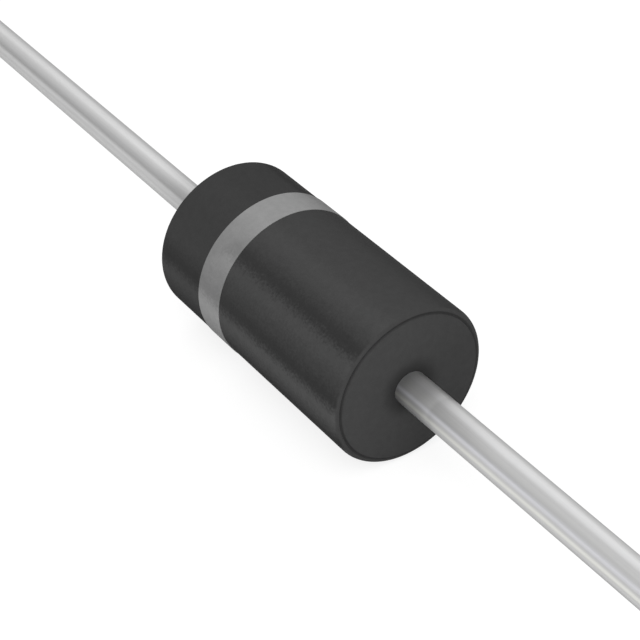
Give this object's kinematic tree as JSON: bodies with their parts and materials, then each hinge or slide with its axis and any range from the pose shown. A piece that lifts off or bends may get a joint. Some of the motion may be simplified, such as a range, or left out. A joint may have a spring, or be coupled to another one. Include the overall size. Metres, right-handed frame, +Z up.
{
  "type": "axial rectifier diode",
  "caption": "Rectifier diode with a dark moulded cylinder, a pale ring that marks the cathode end, and one straight round lead out of each end face.",
  "frame": {"origin": "centre of the moulded body, on the axis of the leads", "axes": "+X along the leads, from the cathode end with the band towards the anode end; +Z up as the diode lies on its side"},
  "size_m": [0.0604, 0.0052, 0.0052],
  "materials": {
    "moulding_compound": "matt charcoal moulding epoxy with a fine grain and soft lengthwise flow streaks",
    "band_ink": "matt mid-grey printed ink",
    "tinned_wire": "satin tin plate on drawn copper wire, with faint lengthwise drawing lines",
    "silicon": "dark grey polished silicon with a bevelled edge",
    "solder": "dull grey solder",
    "silicone": "milky white silicone"
  },
  "bodies": {
    "root": {"moulded_body": "moulding_compound", "cathode_band": "band_ink", "anode_lead": "tinned_wire", "cathode_lead": "tinned_wire", "silicon_die": "silicon", "anode_solder": "solder", "cathode_solder": "solder", "junction_coating": "silicone"}
  },
  "joints": []
}
